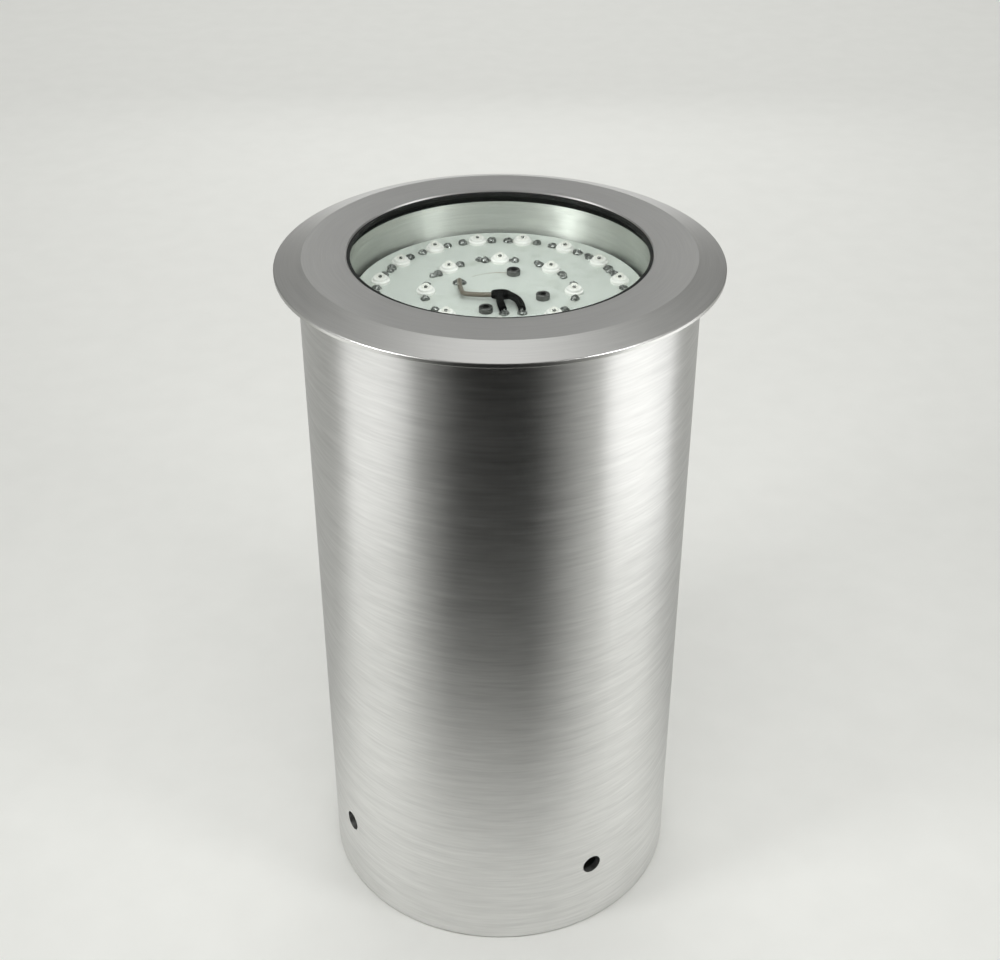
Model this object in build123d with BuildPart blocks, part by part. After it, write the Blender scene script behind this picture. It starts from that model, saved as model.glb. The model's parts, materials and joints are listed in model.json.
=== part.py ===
from build123d import *
import math
import os

# In-ground light: a steel sleeve set in the ground, and a sealed LED insert that lifts out of it.
# Millimetres, +Z up, origin at the centre of the sleeve's foot.

# Overall size and glass opening
overall_height = 303.0
aperture_d = 120.0          # clear opening of the bezel
aperture_edge = 0.5         # broken edge round the opening
lip_thickness = 1.2         # bezel lip above the gasket
glass_thickness = 8.0
glass_overlap = 2.6         # glass that reaches under the lip
glass_edge = 0.4            # broken edges of the glass
gasket_wall = 1.5           # rubber outside the glass
gasket_top_lip = 0.8
gasket_foot_lip = 0.6
gasket_reach = 1.3          # rubber that shows inside the opening
gasket_drop = 0.5           # top of the rubber below the bezel face
snug_gap = 0.1              # gap between pieces that fit closely

# Bezel
face_width = 17.5           # flat turned face, from the opening outwards
flange_overhang = 9.0       # flange beyond the sleeve
flange_thickness = 5.3
flange_rim = 1.7            # upright edge below the chamfer
rim_top_round = 0.6
rim_foot_round = 0.2
collar_width = 11.5
collar_play = 0.8           # collar to sleeve bore
seat_depth = 0.5            # groove that locates the sleeve's top edge
seat_play = 0.3

# Sleeve
sleeve_wall = 3.0
sleeve_edge = 0.5           # broken edges at both ends
drain_d = 9.0
drain_height = 35.0         # hole centres above the foot
drain_count = 4
drain_start = 31.1          # degrees from +X

# Can
can_wall = 2.5
can_margin = 0.8            # can bore beyond the glass opening
can_flange_thickness = 3.0
can_flange_inset = 0.7      # can flange inside the collar's edge
foot_flange_width = 8.7
foot_flange_thickness = 4.0
o_ring_section = 1.6
clamp_count = 8
clamp_length = 8.0          # under the head
clamp_spare_depth = 1.0     # tapped hole beyond the screw's tip

# Base plate
base_thickness = 5.0
base_screw_count = 6
base_screw_length = 8.0

# Screw sizes
m4_d = 4.0
m4_head_d = 7.0
m4_head_height = 2.8
m3_d = 3.0
m3_head_d = 5.5
m3_head_height = 2.2
screw_clearance = 0.4       # clearance hole over the thread, on the diameter
head_edge = 0.4             # rounding of screw heads

# Heat sink and its ledge
ledge_width = 6.5
ledge_thickness = 4.0
sink_gap = 0.3              # heat sink to can bore
sink_plate = 6.0
fin_count = 11
fin_pitch = 8.5
fin_thickness = 2.0
fin_height = 24.0
fin_inset = 1.0             # fins inside the ledge
sink_screw_count = 3
sink_screw_length = 8.0
sink_screw_start = 30.0     # degrees

# Board
chamber_depth = 13.3        # from the can's top to the board
board_gap = 2.4             # board edge to can bore
board_thickness = 1.6
pad_thickness = 0.5
pad_inset = 0.9             # pad inside the board's edge
board_screw_count = 3
board_screw_length = 6.0
board_screw_inset = 11.7    # screw circle inside the inner LED ring
board_screw_start = -108.0  # degrees
board_screw_sweep = 180.0   # degrees from the first screw to the last

# LEDs
led_edge_margin = 9.3       # outer LED ring inside the board's edge
led_ring_spacing = 19.6
outer_led_count = 16
inner_led_count = 8
outer_led_start = 11.25     # degrees
inner_led_start = 90.0
led_body_d = 7.6
led_body_height = 2.2
led_body_edge = 0.5
led_lens_r = 2.5
led_chip_d = 2.0
led_chip_height = 0.4
led_lead_length = 2.2
led_lead_width = 1.6
led_lead_thickness = 0.5
solder_gap = 0.2            # LED package to lump
solder_r = 2.2
solder_height = 1.3

# Wires on the board: points are (x, y, height above the board), and spread with the inner LED ring
route_ring_r = 29.5         # LED ring that the points are chosen for
jumper_d = 2.6
brown_d = 2.0
jumper_bend = 1.6
right_route = [(8.6, -18.4, 1.5), (8.3, -15.4, 2.2), (6.2, -10.4, 2.9), (3.2, -8.4, 3.0)]
left_route = [(1.5, -18.8, 1.5), (0.4, -15.6, 2.2), (-0.2, -11.6, 2.9), (0.1, -9.6, 3.0)]
brown_route = [
    (-16.3, 8.8, 1.2),
    (-16.2, 4.0, 1.7),
    (-15.4, -2.0, 2.1),
    (-14.6, -6.0, 2.4),
    (-11.0, -7.2, 2.6),
    (-5.0, -8.2, 2.8),
    (-2.2, -8.0, 3.0),
]
jumper_sleeve_d = 4.4
jumper_sleeve_edge = 1.0
jumper_sleeve_start = (-3.4, -7.9, 3.0)
jumper_sleeve_end = (4.2, -8.2, 3.0)

# Feed wires and their grommet
grommet_angle = -67.5       # degrees, between the LEDs of both rings
feed_d = 1.8
feed_bend = 2.6
feed_spacing = 2.4          # between the two wires in the grommet
feed_rise = 4.5             # top of the arch above the board
feed_reach = 7.4            # sideways from the grommet to the soldered end
feed_end_height = 0.7
grommet_bore_d = 5.2
grommet_wall = 1.3
grommet_flange = 1.5        # flange beyond the hole
grommet_flange_thickness = 1.2
fin_passage = 1.5           # extra room round the grommet hole through the fins

# Driver on the base plate
wiring_room = 24.0          # fins to driver
driver_height = 26.0
driver_length = 74.0
driver_width = 44.0
driver_corner = 3.0
driver_edge = 1.5
driver_wall_gap = 17.0      # driver's front side to the can bore, on the centre line
ear_length = 8.0
ear_width = 16.0
ear_thickness = 3.0
driver_screw_length = 6.5

# Terminal block
terminal_length = 34.0
terminal_width = 16.0
terminal_height = 15.0
terminal_edge = 0.8
terminal_pitch = 11.0
terminal_row = 8.0          # between the two rows of screws
terminal_inset = 24.0       # block centre inside the can bore
terminal_angle = 126.0      # degrees
terminal_screw_d = 4.0
terminal_well_depth = 5.0
terminal_screw_height = 3.0
terminal_slot = 0.9         # slot width in the screws
terminal_slot_depth = 1.0
terminal_entry_height = 5.0
terminal_entry_gap = 0.3    # entry hole round the lead
input_lead_d = 2.4
input_lead_depth = 5.0      # lead end inside the block
input_lead_exit = 8.0       # lead's height on the driver
# The lead's slack, as shares of the gap that it crosses
input_lead_bend = 0.16
input_lead_rise = 0.32
input_lead_turns = (0.25, 0.5, 0.8)

# Cable gland in the base plate
gland_inset = 22.0          # gland axis inside the can bore
gland_angle = 55.5          # degrees
gland_thread_d = 20.0
gland_shoulder = 2.0        # hexagon's flats beyond the thread
gland_hex_height = 7.0
gland_washer = 1.5
gland_washer_margin = 0.4   # washer inside the hexagon's flats
lock_nut_wall = 3.0         # nut's flats beyond the thread
lock_nut_height = 5.0
lock_nut_show = 2.0         # thread beyond the nut
cable_d = 8.0
gland_pass_d = 10.4         # bore above the seal
seal_wall = 3.0
seal_length = 12.0
seal_play = 0.3
gland_lower_wall = 1.7
cap_travel = 3.0            # two turns of the cap
cap_play = 0.3
cap_floor = 3.0
cap_depth = 12.0
cap_spare = 1.0             # room past the end of the cap's travel
cap_mouth_d = 11.0
cap_taper = 3.0

# Leaf springs
spring_count = 3
spring_start = 90.0         # degrees
spring_width = 14.0
spring_thickness = 0.8
spring_clear = 0.3          # crest to sleeve
spring_top_drop = 12.0      # below the can flange
spring_foot = 14.0
spring_slope = 26.0         # height of each leg
spring_tail_gap = 2.5
spring_bend = 7.0
stud_length = 7.0
nut_hex = 7.0
nut_height = 3.2

# Radii worked out from the opening outwards
aperture_r = aperture_d / 2
glass_r = aperture_r + glass_overlap
pocket_r = glass_r + gasket_wall + snug_gap
collar_r = pocket_r + collar_width
sleeve_bore_r = collar_r + collar_play
sleeve_r = sleeve_bore_r + sleeve_wall
flange_r = sleeve_r + flange_overhang
face_r = aperture_r + face_width
chamber_r = aperture_r + can_margin
can_r = chamber_r + can_wall
can_flange_r = collar_r - can_flange_inset
foot_flange_r = can_r + foot_flange_width
clamp_r = (pocket_r + collar_r) / 2
base_screw_r = can_r + foot_flange_width / 2
flange_o_ring_r = (pocket_r + clamp_r - m4_d / 2) / 2
base_o_ring_r = (chamber_r + base_screw_r - m4_d / 2) / 2
ledge_r = chamber_r - ledge_width
sink_r = chamber_r - sink_gap
sink_screw_r = chamber_r - ledge_width / 2
fin_r = ledge_r - fin_inset
board_r = chamber_r - board_gap
outer_ring_r = board_r - led_edge_margin
inner_ring_r = outer_ring_r - led_ring_spacing
board_screw_r = inner_ring_r - board_screw_inset
grommet_r = grommet_bore_d / 2 + grommet_wall
feed_hole_r = grommet_r + snug_gap

# Heights worked out from the top down
bezel_top = overall_height
lip_foot = bezel_top - lip_thickness
glass_top = lip_foot - gasket_top_lip
glass_foot = glass_top - glass_thickness
can_top = glass_foot - gasket_foot_lip
flange_foot = bezel_top - flange_thickness
sleeve_top = flange_foot + seat_depth
board_top = can_top - chamber_depth
pad_top = board_top - board_thickness
sink_top = pad_top - pad_thickness
sink_foot = sink_top - sink_plate
ledge_foot = sink_foot - ledge_thickness
driver_top = sink_foot - fin_height - wiring_room
base_top = driver_top - driver_height
base_foot = base_top - base_thickness
led_top = board_top + led_body_height
can_flange_foot = can_top - can_flange_thickness

# Solder places and the feed wires' grommet, midway between the two LED rings
solder_offset = led_body_d / 2 + solder_gap + solder_r
route_spread = inner_ring_r / route_ring_r
grommet_turn = math.radians(grommet_angle)
grommet_ring_r = (outer_ring_r + inner_ring_r) / 2
grommet_x = grommet_ring_r * math.cos(grommet_turn)
grommet_y = grommet_ring_r * math.sin(grommet_turn)

# Gland heights and place
gland_hex = gland_thread_d + 2 * gland_shoulder
lock_nut_hex = gland_thread_d + 2 * lock_nut_wall
gland_x = (chamber_r - gland_inset) * math.cos(math.radians(gland_angle))
gland_y = (chamber_r - gland_inset) * math.sin(math.radians(gland_angle))
gland_top = base_top + lock_nut_height + lock_nut_show
gland_hex_top = base_foot - gland_washer
gland_hex_foot = gland_hex_top - gland_hex_height
cap_top = gland_hex_foot - cap_travel
cap_floor_top = cap_top - cap_depth
cap_foot = cap_floor_top - cap_floor
gland_foot = cap_floor_top + cap_travel + cap_spare
seal_r = cable_d / 2 + seal_wall
gland_bore_r = seal_r + seal_play
gland_lower_r = gland_bore_r + gland_lower_wall
gland_bore_top = cap_floor_top + seal_length + cap_travel + cap_spare

# Driver and terminal places
driver_y = -(chamber_r - driver_wall_gap) + driver_width / 2
ear_x = driver_length / 2 + ear_length / 2
terminal_x = (chamber_r - terminal_inset) * math.cos(math.radians(terminal_angle))
terminal_y = (chamber_r - terminal_inset) * math.sin(math.radians(terminal_angle))

LED_RINGS = [
    (outer_ring_r, outer_led_count, outer_led_start),
    (inner_ring_r, inner_led_count, inner_led_start),
]

os.makedirs("parts", exist_ok=True)


def save(piece, label):
    piece.label = label
    export_step(piece, f"parts/{label}.step")


def level(height, x=0.0, y=0.0):
    """Horizontal plane at a height, facing up."""
    return Plane(origin=(x, y, height), x_dir=(1, 0, 0), z_dir=(0, 0, 1))


def underside(height):
    """Horizontal plane at a height, facing down. Its own Y runs along -Y."""
    return Plane(origin=(0, 0, height), x_dir=(1, 0, 0), z_dir=(0, 0, -1))


def outward(angle, height):
    """Upright plane through the axis that faces outwards at an angle in degrees."""
    turn = math.radians(angle)
    side = (-math.sin(turn), math.cos(turn), 0)
    return Plane(origin=(0, 0, height), x_dir=side, z_dir=(math.cos(turn), math.sin(turn), 0))


def ring_spots(radius, count, start, sweep=360.0):
    """Points evenly spaced on a circle, or on an arc from its start to its end."""
    steps = count if sweep == 360.0 else count - 1
    angles = [math.radians(start + sweep * index / steps) for index in range(count)]
    return [(radius * math.cos(angle), radius * math.sin(angle)) for angle in angles]


def flipped(spots):
    """The same points in the local axes of a plane that faces down."""
    return [(x, -y) for x, y in spots]


def screws(plane, spots, thread_d, length, head_d, head_height):
    """Socket screws with their heads on a plane and their threads below it."""
    with BuildPart() as group:
        with BuildSketch(plane):
            with Locations(*spots):
                Circle(head_d / 2)
        extrude(amount=head_height)
        head_tops = group.faces().group_by(Axis(plane.origin, plane.z_dir))[-1]
        fillet(head_tops.edges(), radius=head_edge)
        with BuildSketch(plane.offset(head_height)):
            with Locations(*spots):
                RegularPolygon(thread_d / 2, 6, major_radius=True)
        extrude(amount=-head_height / 2, mode=Mode.SUBTRACT)
        with BuildSketch(plane):
            with Locations(*spots):
                Circle(thread_d / 2)
        extrude(amount=-length)
    return group.part


def o_ring(radius, height):
    """A round rubber ring lying level, by the height of its lowest point."""
    with BuildPart() as ring:
        with Locations((0, 0, height + o_ring_section / 2)):
            Torus(radius, o_ring_section / 2)
    return ring.part


def wire(route, diameter, bend):
    """A round wire along straight runs joined by arcs."""
    with BuildPart() as strand:
        with BuildLine() as path:
            FilletPolyline(*route, radius=bend)
        with BuildSketch(Plane(origin=path.line @ 0, z_dir=path.line % 0)):
            Circle(diameter / 2)
        sweep()
    return strand.part


def on_board(route):
    """Points given by their height above the board, in the part's own frame."""
    return [(x * route_spread, y * route_spread, board_top + height) for x, y, height in route]


def beside_grommet(shift):
    """Point on the board at a sideways distance from the grommet's centre."""
    return grommet_x - shift * math.sin(grommet_turn), grommet_y + shift * math.cos(grommet_turn)


# Sleeve
with BuildPart() as sleeve_tube:
    with BuildSketch():
        Circle(sleeve_r)
        Circle(sleeve_bore_r, mode=Mode.SUBTRACT)
    extrude(amount=sleeve_top)
    chamfer(sleeve_tube.edges().filter_by(GeomType.CIRCLE), length=sleeve_edge)
    for index in range(drain_count):
        with BuildSketch(outward(drain_start + 360.0 * index / drain_count, drain_height)):
            Circle(drain_d / 2)
        extrude(amount=flange_r, mode=Mode.SUBTRACT)
save(sleeve_tube.part, "sleeve_tube")

# Bezel: flange, lip and collar in one turned ring
clamp_spots = ring_spots(clamp_r, clamp_count, 0.0)
with BuildPart() as bezel_ring:
    with BuildSketch(Plane.XZ):
        with BuildLine():
            Polyline(
                (aperture_r, lip_foot),
                (aperture_r, bezel_top - aperture_edge),
                (aperture_r + aperture_edge, bezel_top),
                (face_r, bezel_top),
                (flange_r, flange_foot + flange_rim),
                (flange_r, flange_foot),
                (sleeve_r + seat_play, flange_foot),
                (sleeve_r + seat_play, sleeve_top),
                (collar_r, sleeve_top),
                (collar_r, can_top),
                (pocket_r, can_top),
                (pocket_r, lip_foot),
                close=True,
            )
        make_face()
    revolve(axis=Axis.Z)
    rim_edges = bezel_ring.edges().filter_by(GeomType.CIRCLE).sort_by(SortBy.RADIUS)[-2:]
    rim_foot, rim_top = rim_edges.sort_by(Axis.Z)
    fillet(rim_foot, radius=rim_foot_round)
    fillet(rim_top, radius=rim_top_round)
    with BuildSketch(level(can_top)):
        with Locations(*clamp_spots):
            Circle((m4_d + snug_gap) / 2)
    extrude(amount=clamp_length - can_flange_thickness + clamp_spare_depth, mode=Mode.SUBTRACT)
save(bezel_ring.part, "bezel_ring")

# Gasket: rubber over, round and under the edge of the glass
with BuildPart() as glass_gasket:
    with BuildSketch(Plane.XZ):
        with BuildLine():
            Polyline(
                (aperture_r - gasket_reach, glass_top),
                (aperture_r - gasket_reach, bezel_top - gasket_drop),
                (aperture_r - snug_gap, bezel_top - gasket_drop),
                (aperture_r - snug_gap, lip_foot),
                (pocket_r - snug_gap, lip_foot),
                (pocket_r - snug_gap, can_top),
                (chamber_r, can_top),
                (chamber_r, glass_foot),
                (glass_r, glass_foot),
                (glass_r, glass_top),
                close=True,
            )
        make_face()
    revolve(axis=Axis.Z)
save(glass_gasket.part, "glass_gasket")

# Glass
with BuildPart() as lens_glass:
    with BuildSketch(level(glass_foot)):
        Circle(glass_r - snug_gap)
    extrude(amount=glass_thickness)
    chamfer(lens_glass.edges().filter_by(GeomType.CIRCLE), length=glass_edge)
save(lens_glass.part, "lens_glass")

# Can: tube with a flange at each end
base_screw_spots = ring_spots(base_screw_r, base_screw_count, 0.0)
with BuildPart() as lamp_can:
    with BuildSketch(Plane.XZ):
        with BuildLine():
            Polyline(
                (chamber_r, base_top),
                (foot_flange_r, base_top),
                (foot_flange_r, base_top + foot_flange_thickness),
                (can_r, base_top + foot_flange_thickness),
                (can_r, can_flange_foot),
                (can_flange_r, can_flange_foot),
                (can_flange_r, can_top),
                (chamber_r, can_top),
                close=True,
            )
        make_face()
    revolve(axis=Axis.Z)
    with BuildSketch(level(can_top)):
        Circle(flange_o_ring_r + o_ring_section / 2 + snug_gap)
        Circle(flange_o_ring_r - o_ring_section / 2 - snug_gap, mode=Mode.SUBTRACT)
    extrude(amount=-o_ring_section, mode=Mode.SUBTRACT)
    with BuildSketch(level(can_top)):
        with Locations(*clamp_spots):
            Circle((m4_d + screw_clearance) / 2)
    extrude(amount=-can_flange_thickness, mode=Mode.SUBTRACT)
    with BuildSketch(level(base_top)):
        with Locations(*base_screw_spots):
            Circle((m4_d + snug_gap) / 2)
    extrude(amount=foot_flange_thickness, mode=Mode.SUBTRACT)
save(lamp_can.part, "lamp_can")

flange_o_ring = o_ring(flange_o_ring_r, can_top - o_ring_section)
save(flange_o_ring, "flange_o_ring")

clamp_screws = screws(
    underside(can_flange_foot), flipped(clamp_spots), m4_d, clamp_length, m4_head_d, m4_head_height
)
save(clamp_screws, "clamp_screws")

# Ledge inside the can, under the heat sink
sink_screw_spots = ring_spots(sink_screw_r, sink_screw_count, sink_screw_start)
with BuildPart() as sink_ring:
    with BuildSketch(level(ledge_foot)):
        Circle(chamber_r - snug_gap)
        Circle(ledge_r, mode=Mode.SUBTRACT)
        with Locations(*sink_screw_spots):
            Circle((m3_d + screw_clearance) / 2, mode=Mode.SUBTRACT)
    extrude(amount=ledge_thickness)
save(sink_ring.part, "sink_ring")

# Heat sink: round plate with straight fins below it
board_screw_spots = ring_spots(board_screw_r, board_screw_count, board_screw_start, board_screw_sweep)
with BuildPart() as heat_sink:
    with BuildSketch(level(sink_foot)):
        Circle(sink_r)
    extrude(amount=sink_plate)
    with BuildSketch(level(sink_foot)):
        with GridLocations(0, fin_pitch, 1, fin_count):
            Rectangle(2 * fin_r, fin_thickness)
        Circle(fin_r, mode=Mode.INTERSECT)
    extrude(amount=-fin_height)
    with BuildSketch(level(sink_top, grommet_x, grommet_y)):
        Circle(feed_hole_r)
    extrude(amount=-sink_plate, mode=Mode.SUBTRACT)
    with BuildSketch(level(sink_foot, grommet_x, grommet_y)):
        Circle(feed_hole_r + fin_passage)
    extrude(amount=-fin_height, mode=Mode.SUBTRACT)
    with BuildSketch(level(sink_top)):
        with Locations(*board_screw_spots):
            Circle((m3_d + snug_gap) / 2)
    extrude(amount=-(board_screw_length - board_thickness - pad_thickness), mode=Mode.SUBTRACT)
    with BuildSketch(level(sink_foot)):
        with Locations(*sink_screw_spots):
            Circle((m3_d + snug_gap) / 2)
    extrude(amount=sink_screw_length - ledge_thickness, mode=Mode.SUBTRACT)
save(heat_sink.part, "heat_sink")

sink_screws = screws(
    underside(ledge_foot), flipped(sink_screw_spots), m3_d, sink_screw_length, m3_head_d, m3_head_height
)
save(sink_screws, "sink_screws")

# Thermal pad and board, holed alike
for label, foot, thickness, radius in [
    ("thermal_pad", sink_top, pad_thickness, board_r - pad_inset),
    ("led_board", pad_top, board_thickness, board_r),
]:
    with BuildPart() as sheet:
        with BuildSketch(level(foot)):
            Circle(radius)
            with Locations(*board_screw_spots):
                Circle((m3_d + screw_clearance) / 2, mode=Mode.SUBTRACT)
            with Locations((grommet_x, grommet_y)):
                Circle(feed_hole_r, mode=Mode.SUBTRACT)
        extrude(amount=thickness)
    save(sheet.part, label)

board_screws = screws(
    level(board_top), board_screw_spots, m3_d, board_screw_length, m3_head_d, m3_head_height
)
save(board_screws, "board_screws")

# LED packages and their clear domes, one node for each ring
for ring_name, (ring_r, count, start) in zip(["outer", "inner"], LED_RINGS):
    with BuildPart() as led_bodies:
        with BuildSketch(level(board_top)):
            with PolarLocations(ring_r, count, start):
                Circle(led_body_d / 2)
        extrude(amount=led_body_height)
        chamfer(led_bodies.faces().filter_by(Axis.Z).group_by(Axis.Z)[-1].edges(), length=led_body_edge)
    save(led_bodies.part, f"{ring_name}_led_bodies")

    with BuildPart() as led_lenses:
        with Locations(level(led_top)):
            with PolarLocations(ring_r, count, start):
                Sphere(led_lens_r, arc_size1=0, align=(Align.CENTER, Align.CENTER, Align.MIN))
        with BuildSketch(level(led_top)):
            with PolarLocations(ring_r, count, start):
                Circle(led_chip_d / 2 + snug_gap)
        extrude(amount=led_chip_height + snug_gap, mode=Mode.SUBTRACT)
    save(led_lenses.part, f"{ring_name}_led_lenses")

# LED chips, tabs and solder lumps of both rings
with BuildPart() as led_chips:
    with BuildSketch(level(led_top)):
        for ring_r, count, start in LED_RINGS:
            with PolarLocations(ring_r, count, start):
                Circle(led_chip_d / 2)
    extrude(amount=led_chip_height)
save(led_chips.part, "led_chips")

lead_offset = (led_body_d + led_lead_length) / 2
with BuildPart() as led_leads:
    with BuildSketch(level(board_top)):
        for ring_r, count, start in LED_RINGS:
            with PolarLocations(ring_r, count, start):
                with Locations((0, lead_offset), (0, -lead_offset)):
                    Rectangle(led_lead_width, led_lead_length)
    extrude(amount=led_lead_thickness)
save(led_leads.part, "led_leads")

# A solder lump is the cap of a sphere
lump_sphere_r = (solder_r**2 + solder_height**2) / (2 * solder_height)
lump_latitude = math.degrees(math.asin(1 - solder_height / lump_sphere_r))
with BuildPart() as solder_joints:
    for ring_r, count, start in LED_RINGS:
        with Locations(level(board_top)):
            with PolarLocations(ring_r, count, start):
                with Locations((0, solder_offset), (0, -solder_offset)):
                    Sphere(
                        lump_sphere_r,
                        arc_size1=lump_latitude,
                        align=(Align.CENTER, Align.CENTER, Align.MIN),
                    )
save(solder_joints.part, "solder_joints")

# Jumper wires on the board
with BuildPart() as jumper_wires_black:
    add(wire(on_board(right_route), jumper_d, jumper_bend))
    add(wire(on_board(left_route), jumper_d, jumper_bend))
save(jumper_wires_black.part, "jumper_wires_black")

jumper_wire_brown = wire(on_board(brown_route), brown_d, jumper_bend)
save(jumper_wire_brown, "jumper_wire_brown")

sleeve_start, sleeve_end = on_board([jumper_sleeve_start, jumper_sleeve_end])
sleeve_run = Vector(*sleeve_end) - Vector(*sleeve_start)
sleeve_plane = Plane(origin=sleeve_start, z_dir=sleeve_run)
with BuildPart() as jumper_sleeve:
    with BuildSketch(sleeve_plane):
        Circle(jumper_sleeve_d / 2)
    extrude(amount=sleeve_run.length)
    fillet(jumper_sleeve.edges().filter_by(GeomType.CIRCLE), radius=jumper_sleeve_edge)
save(jumper_sleeve.part, "jumper_sleeve")

# Feed wires from the driver, up through the grommet and over to their soldered ends
feed_ends = []
with BuildPart() as feed_wires:
    for side in (-1, 1):
        passing = beside_grommet(side * feed_spacing / 2)
        ending = beside_grommet(side * (feed_spacing / 2 + feed_reach))
        feed_ends.append(ending)
        feed_route = [
            (*passing, driver_top),
            (*passing, board_top + feed_rise),
            (*ending, board_top + feed_rise),
            (*ending, board_top + feed_end_height),
        ]
        add(wire(feed_route, feed_d, feed_bend))
save(feed_wires.part, "feed_wires")

wire_starts = on_board([right_route[0], left_route[0], brown_route[0]])
joint_spots = [start[:2] for start in wire_starts] + feed_ends
with BuildPart() as wire_joints:
    with Locations(level(board_top)):
        with Locations(*joint_spots):
            Sphere(
                lump_sphere_r,
                arc_size1=lump_latitude,
                align=(Align.CENTER, Align.CENTER, Align.MIN),
            )
save(wire_joints.part, "wire_joints")

with BuildPart() as wire_grommet:
    with BuildSketch(level(sink_foot, grommet_x, grommet_y)):
        Circle(grommet_r)
    extrude(amount=board_top - sink_foot)
    with BuildSketch(level(board_top, grommet_x, grommet_y)):
        Circle(grommet_r + grommet_flange)
    extrude(amount=grommet_flange_thickness)
    with BuildSketch(level(sink_foot, grommet_x, grommet_y)):
        Circle(grommet_bore_d / 2)
    extrude(amount=board_top + grommet_flange_thickness - sink_foot, mode=Mode.SUBTRACT)
save(wire_grommet.part, "wire_grommet")

# Driver with two screw ears
ear_spots = [(-ear_x, driver_y), (ear_x, driver_y)]
with BuildPart() as led_driver:
    with BuildSketch(level(base_top, 0.0, driver_y)):
        RectangleRounded(driver_length, driver_width, driver_corner)
    extrude(amount=driver_height)
    fillet(led_driver.faces().sort_by(Axis.Z)[-1].edges(), radius=driver_edge)
    with BuildSketch(level(base_top)):
        with Locations(*ear_spots):
            Rectangle(ear_length, ear_width)
            Circle((m4_d + screw_clearance) / 2, mode=Mode.SUBTRACT)
    extrude(amount=ear_thickness)
save(led_driver.part, "led_driver")

driver_screws = screws(
    level(base_top + ear_thickness), ear_spots, m4_d, driver_screw_length, m4_head_d, m4_head_height
)
save(driver_screws, "driver_screws")

# Terminal block with two poles, and its clamp screws
pole_x = [terminal_x - terminal_pitch / 2, terminal_x + terminal_pitch / 2]
well_spots = [
    (x, terminal_y + row) for x in pole_x for row in (-terminal_row / 2, terminal_row / 2)
]
entry_r = input_lead_d / 2 + terminal_entry_gap
with BuildPart() as terminal_block:
    with BuildSketch(level(base_top, terminal_x, terminal_y)):
        Rectangle(terminal_length, terminal_width)
    extrude(amount=terminal_height)
    chamfer(terminal_block.faces().sort_by(Axis.Z)[-1].edges(), length=terminal_edge)
    with BuildSketch(level(base_top + terminal_height)):
        with Locations(*well_spots):
            Circle(terminal_screw_d / 2 + snug_gap)
    extrude(amount=-terminal_well_depth, mode=Mode.SUBTRACT)
    with BuildSketch(Plane.XZ.offset(-terminal_y - terminal_width / 2)):
        with Locations(*[(x, base_top + terminal_entry_height) for x in pole_x]):
            Circle(entry_r)
    extrude(amount=terminal_width, mode=Mode.SUBTRACT)
save(terminal_block.part, "terminal_block")

with BuildPart() as terminal_screws:
    with BuildSketch(level(base_top + terminal_height - terminal_well_depth)):
        with Locations(*well_spots):
            Circle(terminal_screw_d / 2)
    extrude(amount=terminal_screw_height)
    with BuildSketch(level(base_top + terminal_height - terminal_well_depth + terminal_screw_height)):
        with Locations(*well_spots):
            Rectangle(terminal_screw_d, terminal_slot)
    extrude(amount=-terminal_slot_depth, mode=Mode.SUBTRACT)
save(terminal_screws.part, "terminal_screws")

# Leads from the terminal block over to the driver
block_front = terminal_y - terminal_width / 2
driver_back = driver_y + driver_width / 2
lead_gap = block_front - driver_back
low = base_top + terminal_entry_height
first_turn, crest_turn, last_turn = input_lead_turns
with BuildPart() as driver_input_leads:
    for x in pole_x:
        lead_route = [
            (x, block_front + input_lead_depth, low),
            (x, block_front - lead_gap * first_turn, low),
            (x, block_front - lead_gap * crest_turn, low + lead_gap * input_lead_rise),
            (x, block_front - lead_gap * last_turn, base_top + input_lead_exit),
            (x, driver_back, base_top + input_lead_exit),
        ]
        add(wire(lead_route, input_lead_d, lead_gap * input_lead_bend))
save(driver_input_leads.part, "driver_input_leads")

# Base plate
with BuildPart() as can_base:
    with BuildSketch(level(base_foot)):
        Circle(foot_flange_r)
        with Locations((gland_x, gland_y)):
            Circle(gland_thread_d / 2 + snug_gap, mode=Mode.SUBTRACT)
        with Locations(*base_screw_spots):
            Circle((m4_d + screw_clearance) / 2, mode=Mode.SUBTRACT)
    extrude(amount=base_thickness)
    with BuildSketch(level(base_top)):
        Circle(base_o_ring_r + o_ring_section / 2 + snug_gap)
        Circle(base_o_ring_r - o_ring_section / 2 - snug_gap, mode=Mode.SUBTRACT)
    extrude(amount=-o_ring_section, mode=Mode.SUBTRACT)
    with BuildSketch(level(base_top)):
        with Locations(*ear_spots):
            Circle((m4_d + snug_gap) / 2)
    extrude(amount=-(driver_screw_length - ear_thickness), mode=Mode.SUBTRACT)
save(can_base.part, "can_base")

base_o_ring = o_ring(base_o_ring_r, base_top - o_ring_section)
save(base_o_ring, "base_o_ring")

base_screws = screws(
    underside(base_foot), flipped(base_screw_spots), m4_d, base_screw_length, m4_head_d, m4_head_height
)
save(base_screws, "base_screws")

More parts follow.
